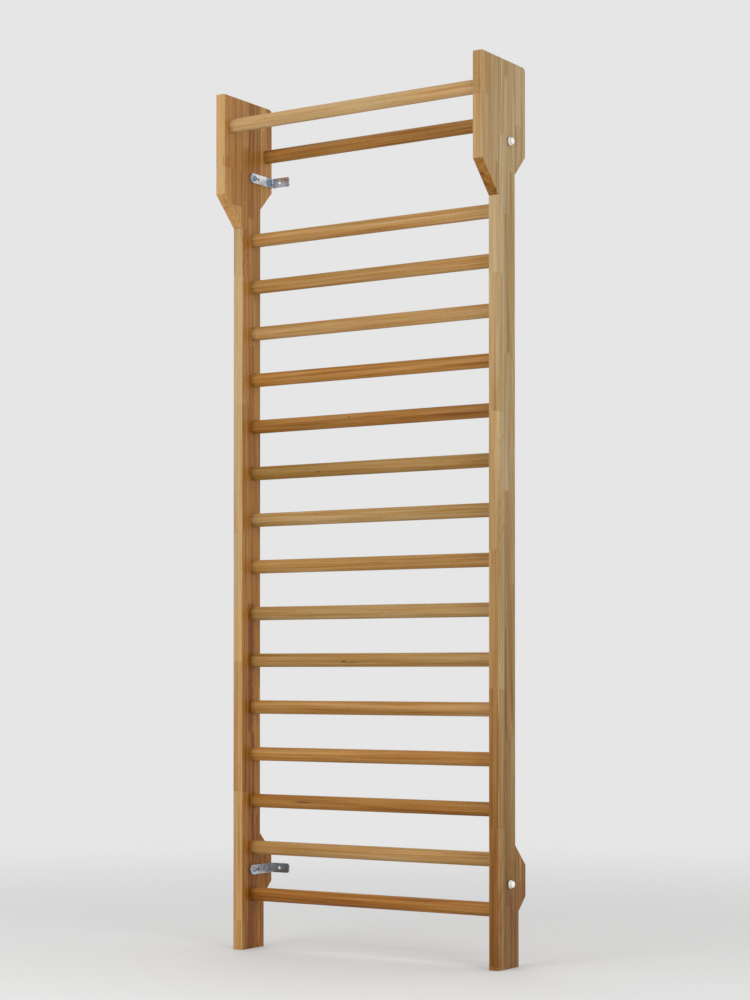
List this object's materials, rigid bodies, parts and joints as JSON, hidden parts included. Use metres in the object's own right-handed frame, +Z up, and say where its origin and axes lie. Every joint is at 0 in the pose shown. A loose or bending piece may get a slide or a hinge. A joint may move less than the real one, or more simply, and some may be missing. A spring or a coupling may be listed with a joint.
{
  "type": "wall bars",
  "caption": "Wooden wall bars: oval rungs between forward-headed uprights, with a set-back rung at the top and steel angle brackets for the wall.",
  "frame": {"origin": "on the floor, midway between the uprights and midway between the heads' front faces and the wall", "axes": "+X to the user's right, +Y towards the wall, +Z up"},
  "size_m": [0.926, 0.236, 2.5],
  "materials": {
    "upright_beech": "edge-glued, finger-jointed beech staves under a clear satin lacquer",
    "rung_beech": "solid beech, sanded round, clear satin lacquer",
    "zinc_steel": "bright zinc plating",
    "cap_plastic": "white moulded plastic"
  },
  "bodies": {
    "root": {"bolt_lower_left": "zinc_steel", "bolt_lower_right": "zinc_steel", "bolt_upper_left": "zinc_steel", "bolt_upper_right": "zinc_steel", "bracket_lower_left": "zinc_steel", "bracket_lower_right": "zinc_steel", "bracket_upper_left": "zinc_steel", "bracket_upper_right": "zinc_steel", "cap_lower_left": "cap_plastic", "cap_lower_right": "cap_plastic", "cap_upper_left": "cap_plastic", "cap_upper_right": "cap_plastic", "left_board": "upright_beech", "left_foot_rear": "upright_beech", "left_head_front": "upright_beech", "left_head_rear": "upright_beech", "nut_lower_left": "zinc_steel", "nut_lower_right": "zinc_steel", "nut_upper_left": "zinc_steel", "nut_upper_right": "zinc_steel", "right_board": "upright_beech", "right_foot_rear": "upright_beech", "right_head_front": "upright_beech", "right_head_rear": "upright_beech", "rung_01": "rung_beech", "rung_02": "rung_beech", "rung_03": "rung_beech", "rung_04": "rung_beech", "rung_05": "rung_beech", "rung_06": "rung_beech", "rung_07": "rung_beech", "rung_08": "rung_beech", "rung_09": "rung_beech", "rung_10": "rung_beech", "rung_11": "rung_beech", "rung_12": "rung_beech", "rung_13": "rung_beech", "rung_14": "rung_beech", "rung_15": "rung_beech", "rung_16": "rung_beech", "rung_17": "rung_beech", "washer_lower_left": "zinc_steel", "washer_lower_right": "zinc_steel", "washer_upper_left": "zinc_steel", "washer_upper_right": "zinc_steel"}
  },
  "joints": []
}
